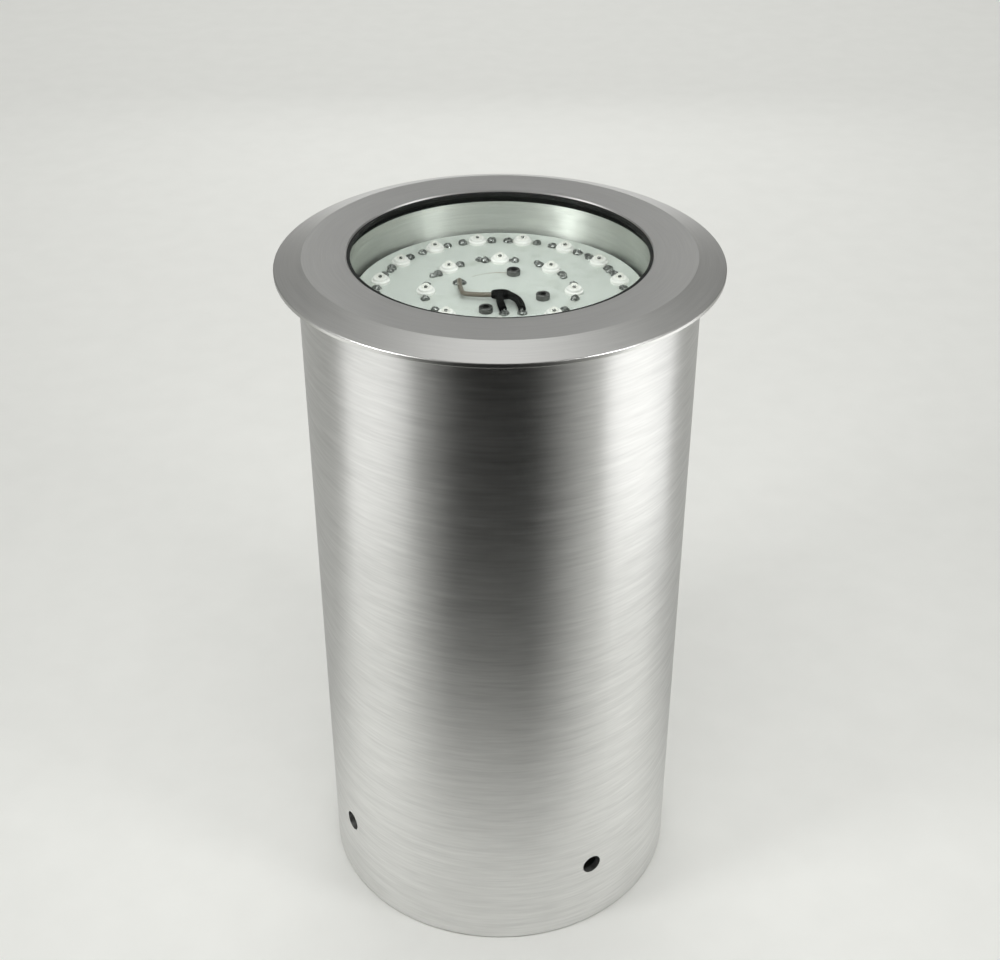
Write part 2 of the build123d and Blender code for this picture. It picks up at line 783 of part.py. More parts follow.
# Cable gland: body, washer, lock nut, seal and cap on one axis
with BuildPart() as gland_body:
    with BuildSketch(level(gland_hex_foot, gland_x, gland_y)):
        RegularPolygon(gland_hex / 2, 6, major_radius=False)
    extrude(amount=gland_hex_height)
    with BuildSketch(level(gland_hex_top, gland_x, gland_y)):
        Circle(gland_thread_d / 2)
    extrude(amount=gland_top - gland_hex_top)
    with BuildSketch(level(gland_hex_foot, gland_x, gland_y)):
        Circle(gland_lower_r)
    extrude(amount=gland_foot - gland_hex_foot)
    with BuildSketch(level(gland_foot, gland_x, gland_y)):
        Circle(gland_bore_r)
    extrude(amount=gland_bore_top - gland_foot, mode=Mode.SUBTRACT)
    with BuildSketch(level(gland_bore_top, gland_x, gland_y)):
        Circle(gland_pass_d / 2)
    extrude(amount=gland_top - gland_bore_top, mode=Mode.SUBTRACT)
save(gland_body.part, "gland_body")

with BuildPart() as gland_washer_ring:
    with BuildSketch(level(gland_hex_top, gland_x, gland_y)):
        Circle(gland_hex / 2 - gland_washer_margin)
        Circle(gland_thread_d / 2 + snug_gap, mode=Mode.SUBTRACT)
    extrude(amount=gland_washer)
save(gland_washer_ring.part, "gland_washer")

with BuildPart() as gland_lock_nut:
    with BuildSketch(level(base_top, gland_x, gland_y)):
        RegularPolygon(lock_nut_hex / 2, 6, major_radius=False)
        Circle(gland_thread_d / 2 + snug_gap, mode=Mode.SUBTRACT)
    extrude(amount=lock_nut_height)
save(gland_lock_nut.part, "gland_lock_nut")

with BuildPart() as gland_seal:
    with BuildSketch(level(cap_floor_top, gland_x, gland_y)):
        Circle(seal_r)
        Circle(cable_d / 2, mode=Mode.SUBTRACT)
    extrude(amount=seal_length)
save(gland_seal.part, "gland_seal")

with BuildPart() as gland_cap:
    with BuildSketch(level(cap_foot, gland_x, gland_y)):
        RegularPolygon(gland_hex / 2, 6, major_radius=False)
    extrude(amount=cap_top - cap_foot)
    chamfer(gland_cap.faces().sort_by(Axis.Z)[0].edges(), length=cap_taper)
    with BuildSketch(level(cap_floor_top, gland_x, gland_y)):
        Circle(gland_lower_r + cap_play)
    extrude(amount=cap_depth, mode=Mode.SUBTRACT)
    with BuildSketch(level(cap_foot, gland_x, gland_y)):
        Circle(cap_mouth_d / 2)
    extrude(amount=cap_floor, mode=Mode.SUBTRACT)
save(gland_cap.part, "gland_cap")

# Leaf springs with weld studs and nuts, drawn once and set round the can
spring_inner_x = can_r + snug_gap
spring_foot_x = spring_inner_x + spring_thickness / 2
spring_reach = math.sqrt((sleeve_bore_r - spring_clear) ** 2 - (spring_width / 2) ** 2)
spring_crest_x = spring_reach - spring_thickness / 2
spring_top = can_flange_foot - spring_top_drop
stud_height = spring_top - spring_foot / 2
bend_height = spring_top - spring_foot
with BuildPart() as leaf_spring:
    with BuildLine(Plane.XZ) as spring_path:
        FilletPolyline(
            (spring_foot_x, spring_top),
            (spring_foot_x, bend_height),
            (spring_crest_x, bend_height - spring_slope),
            (spring_foot_x + spring_tail_gap, bend_height - 2 * spring_slope),
            radius=spring_bend,
        )
    with BuildSketch(Plane(origin=spring_path.line @ 0, x_dir=(1, 0, 0), z_dir=spring_path.line % 0)):
        Rectangle(spring_thickness, spring_width)
    sweep()
    with BuildSketch(outward(0.0, stud_height)):
        Circle((m4_d + screw_clearance) / 2)
    extrude(amount=spring_crest_x, mode=Mode.SUBTRACT)

with BuildPart() as weld_stud:
    with BuildSketch(outward(0.0, stud_height).offset(can_r)):
        Circle(m4_d / 2)
    extrude(amount=stud_length)

with BuildPart() as stud_nut:
    with BuildSketch(outward(0.0, stud_height).offset(spring_inner_x + spring_thickness)):
        RegularPolygon(nut_hex / 2, 6, major_radius=False)
        Circle((m4_d + snug_gap) / 2, mode=Mode.SUBTRACT)
    extrude(amount=nut_height)

for single, label in [
    (leaf_spring, "retaining_springs"),
    (weld_stud, "spring_studs"),
    (stud_nut, "spring_nuts"),
]:
    with BuildPart() as trio:
        with PolarLocations(0, spring_count, spring_start):
            add(single.part)
    save(trio.part, label)
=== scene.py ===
import json
import math
import random

import bmesh
import bpy
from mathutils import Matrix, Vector, noise


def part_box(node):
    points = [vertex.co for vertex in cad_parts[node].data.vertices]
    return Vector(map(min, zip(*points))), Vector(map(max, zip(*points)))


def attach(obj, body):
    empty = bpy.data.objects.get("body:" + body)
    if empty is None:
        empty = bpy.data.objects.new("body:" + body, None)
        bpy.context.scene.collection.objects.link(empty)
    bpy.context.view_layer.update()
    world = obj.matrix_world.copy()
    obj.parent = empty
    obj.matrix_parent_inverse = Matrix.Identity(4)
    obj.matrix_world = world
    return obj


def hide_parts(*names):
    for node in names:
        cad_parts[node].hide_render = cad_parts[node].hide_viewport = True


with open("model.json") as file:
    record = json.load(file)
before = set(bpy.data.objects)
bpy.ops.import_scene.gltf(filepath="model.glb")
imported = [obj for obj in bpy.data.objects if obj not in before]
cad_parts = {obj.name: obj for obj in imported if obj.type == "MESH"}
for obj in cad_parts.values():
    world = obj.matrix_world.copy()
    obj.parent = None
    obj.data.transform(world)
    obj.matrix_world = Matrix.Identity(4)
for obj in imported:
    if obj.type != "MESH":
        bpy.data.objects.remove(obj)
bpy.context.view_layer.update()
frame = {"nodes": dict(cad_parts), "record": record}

# Looks of an in-ground light: brushed steel sleeve, turned bezel, clear glass, LED board.
# Metres, in the same frame as the solids.

mm = 0.001

# Camera of the photograph
camera_place = (0.0, -0.5550, 0.5503)
camera_pitch = 57.42        # degrees from straight down
camera_lens = 55.285        # millimetres on a sensor of the next width
camera_sensor = 36.0

# LED rings on the board: radius, count and first angle in degrees
LED_RINGS = [(49.1 * mm, 16, 11.25), (29.5 * mm, 8, 90.0)]
led_height = 2.2 * mm
# Radius and height in millimetres, from the foot up
led_profile = [(3.8, 0.0), (3.8, 1.0), (3.4, 1.25), (3.15, 1.3), (3.0, 2.0), (2.75, 2.2)]
lathe_steps = 32
sharp_angle = 35.0          # degrees
dome_r = 1.9 * mm
dome_rings = 8
dome_tip = 0.05             # flat at the dome's top, as a share of its radius
dome_sink = 0.1 * mm        # foot of the dome inside the package
die_r = 0.55 * mm
die_height = 0.4 * mm
die_shoulder = 0.7          # share of the die's height below its bevel
die_top = 0.8               # share of the die's radius left at its top

# Solder lumps: offset is from the LED centre, along the ring
solder_offset = 6.2 * mm
solder_r = (1.75 * mm, 2.2 * mm)
solder_height = (1.3 * mm, 1.9 * mm)
double_share = 0.3          # how many lumps have a second one beside them
double_shift = 2.3 * mm
double_size = 0.8           # size of the second lump, as a share of a first one
lump_rings = 6
lump_steps = 18
lump_rough = 0.22
lump_waves = 1.8
seed_range = 100.0
draw_seed = 7               # for the lumps and the bare strands

# Wires on the board: points are (x, y, height above the board) in millimetres
jumper_r = 1.55 * mm
brown_r = 1.0 * mm
feed_r = 0.9 * mm
right_route = [(8.6, -18.0, 1.5), (8.3, -15.4, 2.2), (6.2, -10.4, 2.9), (3.2, -8.4, 3.0)]
left_route = [(1.3, -18.4, 1.5), (0.4, -15.6, 2.2), (-0.2, -11.6, 2.9), (0.1, -9.6, 3.0)]
brown_route = [
    (-16.3, 8.8, 1.2),
    (-16.2, 4.0, 1.7),
    (-15.4, -2.0, 2.1),
    (-14.6, -6.0, 2.4),
    (-11.0, -7.2, 2.6),
    (-5.0, -8.2, 2.8),
    (-2.2, -8.0, 3.0),
]
wire_lumps = [(8.6, -18.4, 2.05), (1.5, -18.8, 2.05), (-16.3, 8.8, 2.7)]      # x, y and radius
wire_facets = 4
wire_order = 3              # how smoothly a wire bends between its points
wire_steps = 8

# Sleeve over the joint of the wires
sleeve_start = (-3.4, -7.9, 3.0)
sleeve_end = (4.2, -8.2, 3.0)
sleeve_r = 2.2 * mm
sleeve_rings = 18
sleeve_wrinkles = 5.0
wrinkle_scale = 1.5
wrinkle_depth = 0.06        # share of the sleeve's radius
sleeve_end_taper = 0.35
sleeve_end_power = 3        # the higher, the nearer to its ends the sleeve tapers

# Bare strands at the black wires' ends: the radius in metres, the other lengths in millimetres
strand_r = 0.16 * mm
strand_count = 7
strand_bundle = 0.7         # at the start, from the wire's end point
strand_fan = 1.3            # at the far end, to each side
strand_reach = (-2.2, -1.0)
strand_end_height = 0.6
strand_bow = (0.2, 0.7)

# Copper tracks under the LED rings: half width, and where the edge has faded out
trace_half = 2.0 * mm
trace_edge = 2.3 * mm

# Printed line on the board, an arc about the centre
print_r = 18.4 * mm
print_width = 0.5 * mm
print_turn = 105.0          # degrees, middle of the arc
print_sweep = 50.0          # degrees
print_fade = 0.9            # share of the arc's half before its end fades
print_colour = (0.36, 0.33, 0.27)

# Feed wires, beside their grommet
feed_ring_r = 39.3 * mm
feed_angle = -67.5          # degrees
feed_shift = 1.2 * mm       # from the grommet's middle, along the ring
feed_reach = 7.4 * mm
feed_heights = (-1.0 * mm, 4.5 * mm, 0.7 * mm)

# Grain of the finishes
streak_along = 60.0         # streaks for each metre along the brushing
broad_across = 3            # how many times wider the broad streaks are
broad_along = 2             # how many times longer they are
fine_share = 0.6            # of the fine streaks in the grain
brush_turn = 0.25           # a quarter turn: highlights spread across the brushing
smudge_scale = 22.0
smudge_share = 0.3
rough_swing = 0.06          # share of a turned metal's roughness
skin_depth = 0.05 * mm
crust_depth = 0.2 * mm
dust = 0.02                 # roughness that specks add to clear surfaces

# Noise values that count as the lowest and the highest
wide_noise = {"start": 0.3, "end": 0.7}
narrow_noise = {"start": 0.35, "end": 0.65}
speck_noise = {"start": 0.55, "end": 0.8}

# Levelness, from 0 on walls to 1 on level faces, between which a finish changes
face_change = {"start": 0.4, "end": 0.6}
rim_change = {"start": 0.8, "end": 0.9}
edge_change = {"start": 0.3, "end": 0.6}

# Stage: floor, black cards and lamps, in metres and watts
floor_half = 4.0
floor_drop = 0.2 * mm       # floor below the sleeve's foot
cloth_height = 0.3 * mm
paper_dark = (0.86, 0.865, 0.83)
paper_light = (0.88, 0.885, 0.85)
card_black = (0.002, 0.002, 0.002)
sky_colour = (1.0, 1.0, 0.975)
sky_strength = 0.30
# Lamps at both sides: side, then Y and power of the low box, then Y and power of the high box
SIDE_LAMPS = [(-1, -0.17, 0.125, -0.26, 1.85), (1, -0.07, 0.226, -0.30, 1.40)]
low_x = 0.36
low_z = 0.13
high_x = 0.42
high_z = 0.62
high_aim = 0.70             # height that a high box points at
edge_x = 0.60
edge_z = 0.97
edge_aim = 0.30             # height that an edge box points at

board_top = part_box("led_board")[1].z
driver_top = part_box("led_driver")[1].z


# Shader helpers

def new_material(name):
    """An empty node material, with its tree and output node."""
    material = bpy.data.materials.new(name)
    material.use_nodes = True
    tree = material.node_tree
    tree.nodes.clear()
    return material, tree, tree.nodes.new("ShaderNodeOutputMaterial")


def add(tree, kind, inputs=None, **settings):
    """Adds a node. Inputs are values or sockets, by socket name or number."""
    made = tree.nodes.new(kind)
    for name, value in settings.items():
        setattr(made, name, value)
    for socket, value in (inputs or {}).items():
        if isinstance(value, bpy.types.NodeSocket):
            tree.links.new(value, made.inputs[socket])
        else:
            made.inputs[socket].default_value = value
    return made


def maths(tree, operation, first, second=0.0):
    """One sum on values or sockets."""
    return add(tree, "ShaderNodeMath", {0: first, 1: second}, operation=operation).outputs[0]


def blend(tree, first, second, share):
    """Two values added up, with the first one's share."""
    second_part = maths(tree, "MULTIPLY", second, 1.0 - share)
    return maths(tree, "ADD", maths(tree, "MULTIPLY", first, share), second_part)


def spread(tree, value, low, high, start=0.0, end=1.0):
    """Maps a value from one range to another, smoothly and within limits."""
    inputs = {"Value": value, "From Min": start, "From Max": end, "To Min": low, "To Max": high}
    return add(tree, "ShaderNodeMapRange", inputs, interpolation_type="SMOOTHSTEP").outputs["Result"]


def colours(tree, share, first, second, start=0.0, end=1.0):
    """Colour ramp from one colour to another."""
    made = add(tree, "ShaderNodeValToRGB", {"Fac": share})
    stops = ((start, first), (end, second))
    for step, (place, colour) in zip(made.color_ramp.elements, stops):
        step.position = place
        step.color = (*colour, 1.0)
    return made.outputs["Color"]


def mix_colours(tree, share, first, second):
    """Mixes two colours. The node has sockets of the same names for other data, so these go by number."""
    first_colour, second_colour, result_colour = 6, 7, 2
    inputs = {"Factor": share, first_colour: first, second_colour: second}
    return add(tree, "ShaderNodeMix", inputs, data_type="RGBA").outputs[result_colour]


def shade(colour, factor):
    """A colour made lighter or darker."""
    return tuple(min(1.0, channel * factor) for channel in colour)


def own_place(tree):
    """Position in the object's own frame, in metres."""
    return add(tree, "ShaderNodeTexCoord").outputs["Object"]


def speckle(tree, scale, detail=2.0, place=None):
    """Even noise, with features about 1/scale metres wide."""
    inputs = {"Vector": place or own_place(tree), "Scale": scale, "Detail": detail}
    return add(tree, "ShaderNodeTexNoise", inputs).outputs["Fac"]


def levelness(tree):
    """1 on a level face, 0 on an upright wall."""
    normal = add(tree, "ShaderNodeTexCoord").outputs["Normal"]
    return maths(tree, "ABSOLUTE", add(tree, "ShaderNodeSeparateXYZ", {0: normal}).outputs["Z"])


def axis_distance(tree, axes):
    """Distance from the Z axis."""
    flat = add(tree, "ShaderNodeCombineXYZ", {"X": axes["X"], "Y": axes["Y"]}).outputs[0]
    return add(tree, "ShaderNodeVectorMath", {0: flat}, operation="LENGTH").outputs["Value"]


def turned_grain(tree, across, along):
    """Streaks that run round the Z axis: they change with height on walls and with radius on faces."""
    axes = add(tree, "ShaderNodeSeparateXYZ", {0: own_place(tree)}).outputs
    outwards = maths(tree, "SUBTRACT", axis_distance(tree, axes), axes["Z"])
    on_face = spread(tree, levelness(tree), 0.0, 1.0, **face_change)
    rise = maths(tree, "ADD", axes["Z"], maths(tree, "MULTIPLY", outwards, on_face))
    lines = add(
        tree,
        "ShaderNodeCombineXYZ",
        {
            "X": maths(tree, "MULTIPLY", axes["X"], along),
            "Y": maths(tree, "MULTIPLY", axes["Y"], along),
            "Z": maths(tree, "MULTIPLY", rise, across),
        },
    ).outputs[0]
    return speckle(tree, 1.0, place=lines)


def bump(tree, height, strength, distance=skin_depth):
    """Surface relief from a height between 0 and 1."""
    inputs = {"Height": height, "Strength": strength, "Distance": distance}
    return add(tree, "ShaderNodeBump", inputs).outputs["Normal"]


def principled(tree, output, **inputs):
    """A Principled shader on the output; keyword names are its sockets with _ for spaces."""
    sockets = {name.replace("_", " "): value for name, value in inputs.items()}
    made = add(tree, "ShaderNodeBsdfPrincipled", sockets)
    tree.links.new(made.outputs["BSDF"], output.inputs["Surface"])
    return made


# Materials

def turned_metal(name, colour, roughness, anisotropy, across, contrast=0.08, relief=0.3, rim=1.0):
    """Metal that is brushed or turned round the Z axis, with the given count of streaks for each metre
    across. Rim is the share of roughness left on its rim."""
    material, tree, output = new_material(name)
    fine = turned_grain(tree, across, streak_along)
    broad = turned_grain(tree, across / broad_across, streak_along / broad_along)
    grain = blend(tree, fine, broad, fine_share)
    dark, light = shade(colour, 1.0 - contrast), shade(colour, 1.0 + contrast)
    tone = colours(tree, grain, dark, light, **wide_noise)
    worn = blend(tree, speckle(tree, smudge_scale), grain, smudge_share)
    smooth, dull = roughness * (1.0 - rough_swing), roughness * (1.0 + rough_swing)
    rough = spread(tree, worn, smooth, dull, **wide_noise)
    polish = spread(tree, levelness(tree), rim, 1.0, **rim_change)
    tangent = add(tree, "ShaderNodeTangent", direction_type="RADIAL", axis="Z").outputs[0]
    principled(
        tree,
        output,
        Base_Color=tone,
        Metallic=1.0,
        Roughness=maths(tree, "MULTIPLY", rough, polish),
        Anisotropic=anisotropy,
        Anisotropic_Rotation=brush_turn,
        Tangent=tangent,
        Normal=bump(tree, grain, relief),
    )
    return material


def plain_metal(name, colour, roughness):
    """Metal with a fine even grain, slightly dulled in patches."""
    wear = 0.12
    smoothest, dullest = 0.75, 1.3      # shares of the roughness
    material, tree, output = new_material(name)
    grain = speckle(tree, scale=900.0, detail=4.0)
    patches = speckle(tree, scale=60.0, detail=3.0)
    dark, light = shade(colour, 1.0 - wear), shade(colour, 1.0 + wear)
    principled(
        tree,
        output,
        Base_Color=colours(tree, patches, dark, light, **narrow_noise),
        Metallic=1.0,
        Roughness=spread(tree, patches, roughness * smoothest, roughness * dullest, **narrow_noise),
        Normal=bump(tree, grain, strength=0.08),
    )
    return material


def moulded(name, colour, roughness, grain_scale=2500.0, wear=0.08, gloss=0.5):
    """Moulded plastic or rubber with a fine skin and faint marks."""
    smoothest, dullest = 0.85, 1.2      # shares of the roughness
    material, tree, output = new_material(name)
    skin = speckle(tree, grain_scale, detail=3.0)
    marks = speckle(tree, scale=90.0, detail=5.0)
    dark, light = shade(colour, 1.0 - wear), shade(colour, 1.0 + wear)
    principled(
        tree,
        output,
        Base_Color=colours(tree, marks, dark, light, **narrow_noise),
        Roughness=spread(tree, marks, roughness * smoothest, roughness * dullest, **narrow_noise),
        Specular_IOR_Level=gloss,
        Normal=bump(tree, skin, strength=0.15),
    )
    return material


def see_through(name, colour, index, roughness, clearness=1.0, edge=None):
    """Clear material: the eye sees it bend light, and lamps shine straight through it. Edge is the colour
    of an upright edge that is ground and sits in rubber."""
    material, tree, output = new_material(name)
    specks = speckle(tree, scale=700.0, detail=4.0)
    lens = principled(
        tree,
        output,
        Base_Color=(*colour, 1.0),
        Roughness=spread(tree, specks, roughness, roughness + dust, **speck_noise),
        IOR=index,
        Transmission_Weight=clearness,
    )
    passing = add(tree, "ShaderNodeBsdfTransparent", {"Color": (*colour, 1.0)})
    path = add(tree, "ShaderNodeLightPath").outputs
    unseen = maths(tree, "MAXIMUM", path["Is Shadow Ray"], path["Is Diffuse Ray"])
    mix = add(tree, "ShaderNodeMixShader", {0: unseen, 1: lens.outputs[0], 2: passing.outputs[0]})
    if edge:
        upright = spread(tree, levelness(tree), 1.0, 0.0, **edge_change)
        ground = add(tree, "ShaderNodeBsdfDiffuse", {"Color": (*edge, 1.0)})
        mix = add(tree, "ShaderNodeMixShader", {0: upright, 1: mix.outputs[0], 2: ground.outputs[0]})
    tree.links.new(mix.outputs[0], output.inputs["Surface"])
    return material


def ring_traces(tree, radius):
    """1 on the copper tracks under the LED rings, 0 between them."""
    trace = None
    for ring_r, _, _ in LED_RINGS:
        off_ring = maths(tree, "ABSOLUTE", maths(tree, "SUBTRACT", radius, ring_r))
        band = spread(tree, off_ring, 1.0, 0.0, start=trace_half, end=trace_edge)
        trace = band if trace is None else maths(tree, "MAXIMUM", trace, band)
    return trace


def printed_arc(tree, axes, radius):
    """1 on the printed line, 0 beside it."""
    turn = maths(tree, "ARCTAN2", axes["Y"], axes["X"])
    off_line = maths(tree, "ABSOLUTE", maths(tree, "SUBTRACT", radius, print_r))
    off_arc = maths(tree, "ABSOLUTE", maths(tree, "SUBTRACT", turn, math.radians(print_turn)))
    line = spread(tree, off_line, 1.0, 0.0, start=print_width / 2, end=print_width)
    reach = math.radians(print_sweep) / 2
    ends = spread(tree, off_arc, 1.0, 0.0, start=reach * print_fade, end=reach)
    return maths(tree, "MULTIPLY", line, ends)


def white_board():
    """White solder mask over copper: faint ring traces, a little flux and a printed line."""
    clean, stained = (0.63, 0.67, 0.63), (0.50, 0.53, 0.48)
    trace_share = 0.25
    stain_share = 0.6
    faint_ink, full_ink = 0.3, 0.9
    smooth, dull = 0.35, 0.55           # roughness
    material, tree, output = new_material("board_white")
    axes = add(tree, "ShaderNodeSeparateXYZ", {0: own_place(tree)}).outputs
    radius = axis_distance(tree, axes)
    trace = ring_traces(tree, radius)
    flux = speckle(tree, scale=120.0, detail=5.0)
    stain = spread(tree, flux, 0.0, stain_share, start=0.5, end=0.75)
    shown = maths(tree, "ADD", maths(tree, "MULTIPLY", trace, trace_share), stain)
    mask = colours(tree, shown, clean, stained)
    worn = spread(tree, flux, faint_ink, full_ink, start=0.35, end=0.6)
    printed = maths(tree, "MULTIPLY", printed_arc(tree, axes, radius), worn)
    principled(
        tree,
        output,
        Base_Color=mix_colours(tree, printed, mask, (*print_colour, 1.0)),
        Roughness=spread(tree, flux, smooth, dull, **wide_noise),
        Normal=bump(tree, trace, strength=0.4),
    )
    return material


def grey_solder():
    """Dull solder with a crust of flux."""
    dark, bright = (0.06, 0.065, 0.06), (0.42, 0.44, 0.42)
    least_metal, most_metal = 0.4, 1.0
    dull, smooth = 0.45, 0.22           # roughness
    material, tree, output = new_material("solder")
    crust = speckle(tree, scale=900.0, detail=5.0)
    principled(
        tree,
        output,
        Base_Color=colours(tree, crust, dark, bright, start=0.35, end=0.7),
        Metallic=spread(tree, crust, least_metal, most_metal, start=0.3, end=0.6),
        Roughness=spread(tree, crust, dull, smooth, **wide_noise),
        Normal=bump(tree, crust, strength=0.5, distance=crust_depth),
    )
    return material


finishes = {
    "sleeve_steel": turned_metal(
        "sleeve_steel",
        (0.78, 0.78, 0.77),
        roughness=0.32,
        anisotropy=0.65,
        across=900.0,
        contrast=0.1,
        relief=0.55,
    ),
    "bezel_steel": turned_metal(
        "bezel_steel",
        (0.75, 0.75, 0.73),
        roughness=0.41,
        anisotropy=0.0,
        across=2600.0,
        contrast=0.045,
        relief=0.1,
        rim=0.7,
    ),
    "gasket_rubber": moulded("gasket_rubber", (0.008, 0.009, 0.008), roughness=0.5, gloss=0.2),
    "clear_glass": see_through(
        "clear_glass", (0.98, 0.995, 0.985), index=1.5, roughness=0.0, edge=(0.01, 0.012, 0.01)
    ),
    "can_metal": turned_metal(
        "can_metal", (0.74, 0.76, 0.72), roughness=0.42, anisotropy=0.9, across=1500.0, relief=0.1
    ),
    "o_ring_rubber": moulded("o_ring_rubber", (0.02, 0.02, 0.02), roughness=0.5),
    "screw_steel": plain_metal("screw_steel", (0.60, 0.60, 0.60), roughness=0.28),
    "dark_screw": plain_metal("dark_screw", (0.16, 0.16, 0.155), roughness=0.38),
    "sink_metal": plain_metal("sink_metal", (0.05, 0.05, 0.055), roughness=0.50),
    "pad_grey": moulded("pad_grey", (0.40, 0.42, 0.45), roughness=0.8),
    "board_white": white_board(),
    "led_white": moulded("led_white", (0.93, 0.93, 0.90), roughness=0.35, wear=0.02),
    "led_dome": see_through("led_dome", (0.98, 0.98, 0.95), index=1.41, roughness=0.04, clearness=0.9),
    "led_chip": moulded("led_chip", (0.03, 0.035, 0.03), roughness=0.3),
    "tinned_metal": plain_metal("tinned_metal", (0.78, 0.78, 0.76), roughness=0.25),
    "solder": grey_solder(),
    "wire_black": moulded("wire_black", (0.004, 0.004, 0.004), roughness=0.5, gloss=0.03),
    "wire_brown": moulded("wire_brown", (0.15, 0.13, 0.10), roughness=0.30),
    "grommet_rubber": moulded("grommet_rubber", (0.025, 0.025, 0.025), roughness=0.6),
    "driver_case": moulded("driver_case", (0.05, 0.05, 0.055), roughness=0.5, grain_scale=1200.0),
    "terminal_plastic": moulded("terminal_plastic", (0.72, 0.72, 0.66), roughness=0.45),
    "terminal_brass": plain_metal("terminal_brass", (0.72, 0.55, 0.26), roughness=0.3),
    "base_metal": turned_metal(
        "base_metal", (0.66, 0.67, 0.68), roughness=0.36, anisotropy=0.5, across=1100.0
    ),
    "spring_steel": plain_metal("spring_steel", (0.58, 0.58, 0.56), roughness=0.26),
    "gland_plastic": moulded("gland_plastic", (0.03, 0.03, 0.032), roughness=0.5, grain_scale=1500.0),
    "seal_rubber": moulded("seal_rubber", (0.03, 0.03, 0.03), roughness=0.65),
}
for subpart in frame["record"]["subparts"]:
    solid = frame["nodes"][subpart["node"]]
    solid.material_slots[0].material = finishes[subpart["material_slot"]]


# Pieces on the board

def dress(piece, slot, replaced=()):
    """Gives a new piece its finish, puts it on the lamp and hides the solids that it stands for."""
    bpy.context.scene.collection.objects.link(piece)
    piece.data.materials.append(finishes[slot])
    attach(piece, "lamp")
    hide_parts(*replaced)


def mesh_piece(name, mesh, slot, replaced=()):
    """A smooth piece from a bmesh, with its sharp edges kept."""
    data = bpy.data.meshes.new(name)
    mesh.to_mesh(data)
    mesh.free()
    data.shade_smooth()
    data.set_sharp_from_angle(angle=math.radians(sharp_angle))
    dress(bpy.data.objects.new(name, data), slot, replaced)


def circle_points(steps):
    """Unit circle as (cosine, sine) pairs."""
    turns = [math.tau * step / steps for step in range(steps)]
    return [(math.cos(turn), math.sin(turn)) for turn in turns]


def join_rings(mesh, rings):
    """Faces between rings of vertices, from the lowest up. A ring of one vertex is a pole."""
    for lower, upper in zip(rings, rings[1:]):
        steps = max(len(lower), len(upper))
        for step in range(steps):
            after = (step + 1) % steps
            corners = [
                lower[step % len(lower)],
                lower[after % len(lower)],
                upper[after % len(upper)],
                upper[step % len(upper)],
            ]
            mesh.faces.new(list(dict.fromkeys(corners)))


def lathe(mesh, profile, centre):
    """Adds a closed body of revolution. The profile is (radius, height), without its two poles."""
    foot = mesh.verts.new(centre + Vector((0.0, 0.0, profile[0][1])))
    top = mesh.verts.new(centre + Vector((0.0, 0.0, profile[-1][1])))
    rings = [[foot]]
    for radius, height in profile:
        ring = [Vector((radius * c, radius * s, height)) for c, s in circle_points(lathe_steps)]
        rings.append([mesh.verts.new(centre + point) for point in ring])
    rings.append([top])
    join_rings(mesh, rings)


def lump(mesh, centre, radius, height):
    """Adds a rough blob of solder that sits on the board."""
    seed = Vector([draw.uniform(0.0, seed_range) for _ in range(3)])
    rings = [[mesh.verts.new(centre)]]
    for number in range(lump_rings):
        tilt = math.pi / 2 * number / lump_rings
        ring = []
        for c, s in circle_points(lump_steps):
            way = Vector((c * math.cos(tilt), s * math.cos(tilt), math.sin(tilt)))
            swell = 1.0 + lump_rough * noise.noise(way * lump_waves + seed)
            place = Vector((way.x * radius, way.y * radius, way.z * height)) * swell
            ring.append(mesh.verts.new(centre + place))
        rings.append(ring)
    rings.append([mesh.verts.new(centre + Vector((0.0, 0.0, height)))])
    join_rings(mesh, rings)


def on_ring(ring_r, angle, shift=0.0):
    """Point on the board at a radius and an angle in degrees, moved along the ring."""
    c = math.cos(math.radians(angle))
    s = math.sin(math.radians(angle))
    return Vector((ring_r * c - shift * s, ring_r * s + shift * c, board_top))


def on_board(point):
    """Point given in millimetres, with its height above the board."""
    x, y, height = point
    return Vector((x * mm, y * mm, board_top + height * mm))


def led_spots():
    """Radius and angle of every LED."""
    for ring_r, count, start in LED_RINGS:
        for number in range(count):
            yield ring_r, start + 360.0 / count * number


def on_each_led(name, profile, slot, replaced):
    """One piece with the same turned body at every LED."""
    mesh = bmesh.new()
    for ring_r, angle in led_spots():
        lathe(mesh, profile, on_ring(ring_r, angle))
    mesh_piece(name, mesh, slot, replaced)


def led_packages():
    """White packages of the LEDs."""
    profile = [(radius * mm, height * mm) for radius, height in led_profile]
    on_each_led("led_packages", profile, "led_white", ["outer_led_bodies", "inner_led_bodies"])


def led_domes():
    """Clear domes on the packages."""
    tilts = [math.pi / 2 * number / dome_rings for number in range(dome_rings)]
    foot = led_height - dome_sink
    profile = [(dome_r * math.cos(tilt), foot + dome_r * math.sin(tilt)) for tilt in tilts]
    profile.append((dome_r * dome_tip, foot + dome_r))
    on_each_led("led_domes", profile, "led_dome", ["outer_led_lenses", "inner_led_lenses"])


def led_dies():
    """Dark dot in each dome."""
    foot = led_height
    shoulder = foot + die_shoulder * die_height
    profile = [(die_r, foot), (die_r, shoulder), (die_top * die_r, foot + die_height)]
    on_each_led("led_dies", profile, "led_chip", ["led_chips"])


def solder_lumps():
    """Two lumps at each LED, some of them double."""
    mesh = bmesh.new()
    for ring_r, angle in led_spots():
        for side in (-1, 1):
            spot = on_ring(ring_r, angle, side * solder_offset)
            lump(mesh, spot, draw.uniform(*solder_r), draw.uniform(*solder_height))
            if draw.random() < double_share:
                beside = draw.uniform(-1.0, 1.0) * solder_r[0]
                spot = on_ring(ring_r + beside, angle, side * (solder_offset + double_shift))
                radius = draw.uniform(*solder_r) * double_size
                lump(mesh, spot, radius, draw.uniform(*solder_height) * double_size)
    mesh_piece("solder_lumps", mesh, "solder", ["solder_joints"])


